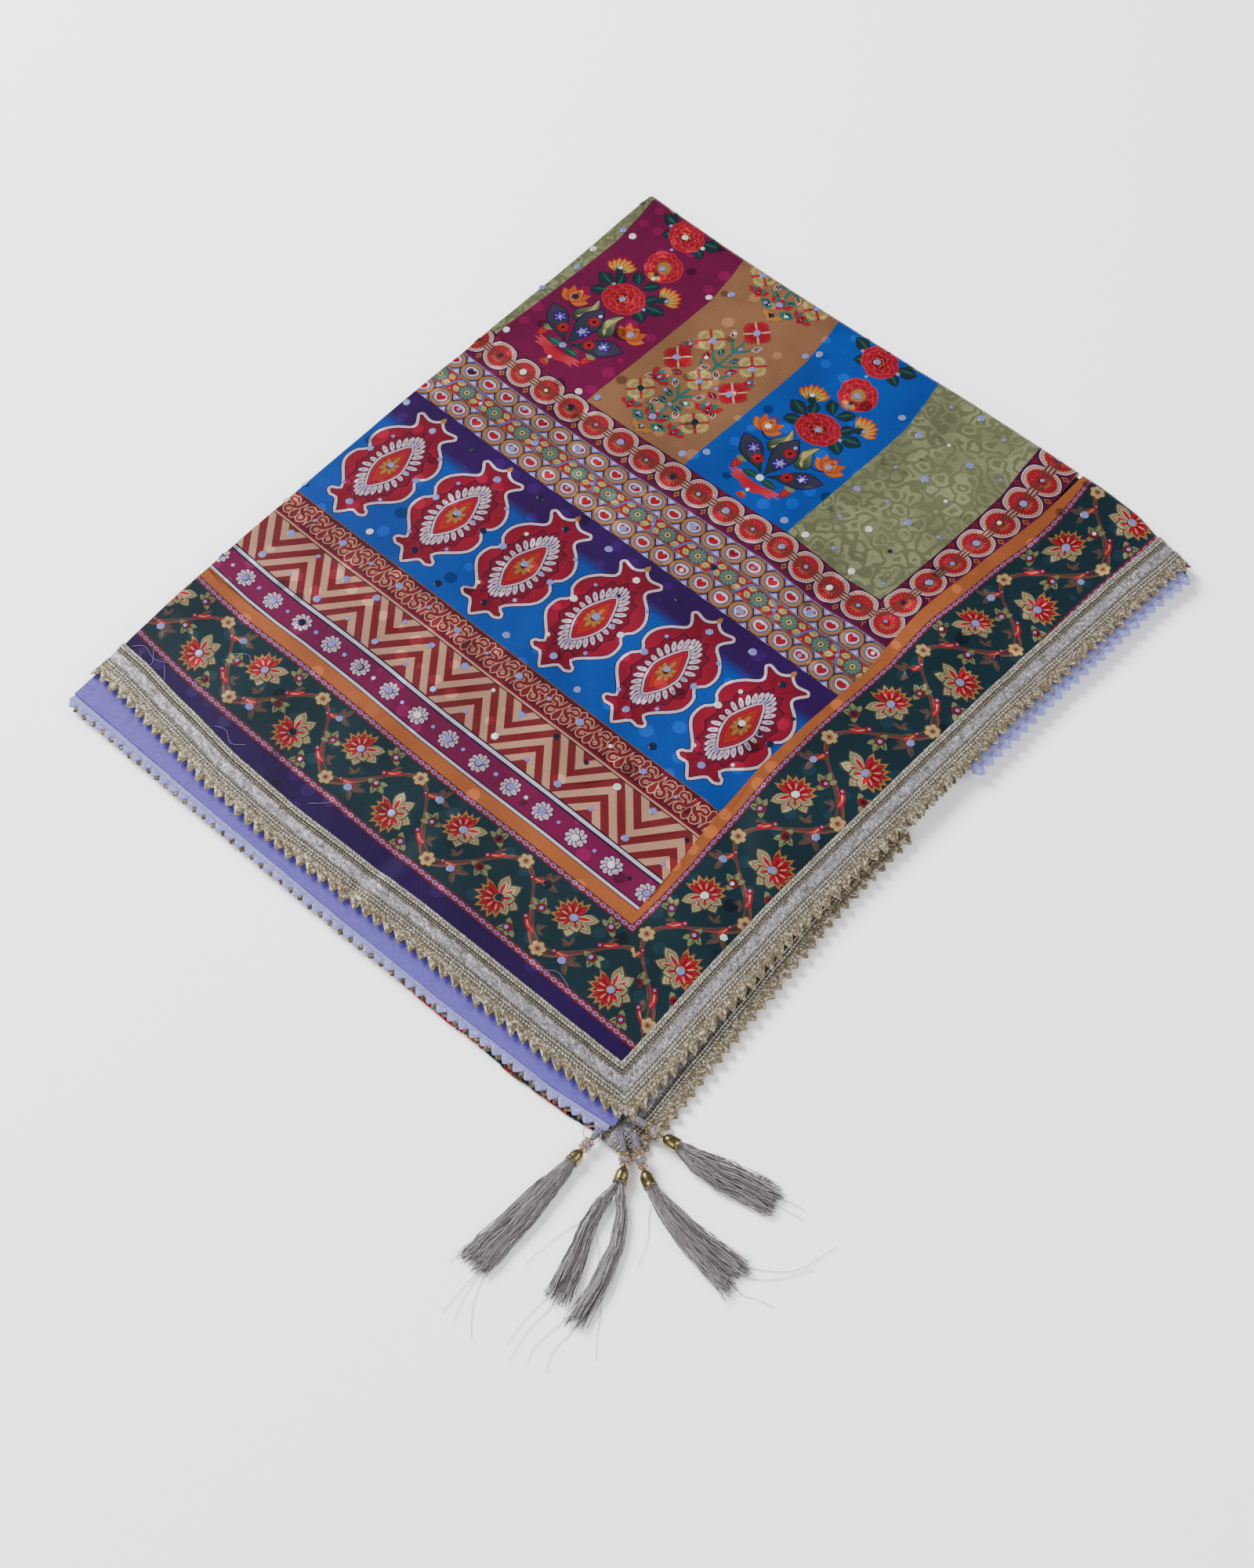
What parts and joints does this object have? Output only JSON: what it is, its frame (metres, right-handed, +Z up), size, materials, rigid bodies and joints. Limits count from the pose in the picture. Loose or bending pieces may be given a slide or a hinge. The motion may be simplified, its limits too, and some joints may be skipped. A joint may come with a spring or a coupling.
{
  "type": "folded dupatta stole",
  "caption": "Printed satin dupatta stole, folded into a flat rectangle, with a zigzag gota lace border and corner tassels with metal caps and beads.",
  "frame": {"origin": "middle of the underside of the part's bounding box, on the surface that it rests on", "axes": "+X across the cloth's width towards the long side's lace, +Y along its length away from the end lace, +Z up; the tassels are at the +X, -Y corner"},
  "size_m": [0.6532, 0.7558, 0.0166],
  "materials": {
    "printed_satin": "satin with a woven spot and a printed floral and geometric design",
    "lilac_lining": "plain slubbed silk",
    "gota_lace": "woven metallic ribbon with folded points",
    "lace_reverse": "matt reverse of a metallic ribbon",
    "grey_satin": "gathered satin",
    "pearl_bead": "pearl with gilt beading",
    "cap_metal": "antiqued and polished",
    "tassel_thread": "lustrous twisted silk thread"
  },
  "bodies": {
    "root": {"printed_top": "printed_satin", "folded_stack": "printed_satin", "lining_second": "lilac_lining", "gota_end_top": "gota_lace", "gota_side_top": "gota_lace", "gota_end_second": "lace_reverse", "gota_side_second": "lace_reverse", "gota_side_third": "gota_lace", "tassel_1_cone": "grey_satin", "tassel_2_cone": "grey_satin", "tassel_3_cone": "grey_satin", "tassel_4_cone": "grey_satin", "tassel_1_bead": "pearl_bead", "tassel_2_bead": "pearl_bead", "tassel_3_bead": "pearl_bead", "tassel_4_bead": "pearl_bead", "tassel_1_cap": "cap_metal", "tassel_2_cap": "cap_metal", "tassel_3_cap": "cap_metal", "tassel_4_cap": "cap_metal", "tassel_1_locks": "tassel_thread", "tassel_2_left_locks": "tassel_thread", "tassel_2_right_locks": "tassel_thread", "tassel_3_locks": "tassel_thread", "tassel_4_locks": "tassel_thread"}
  },
  "joints": []
}
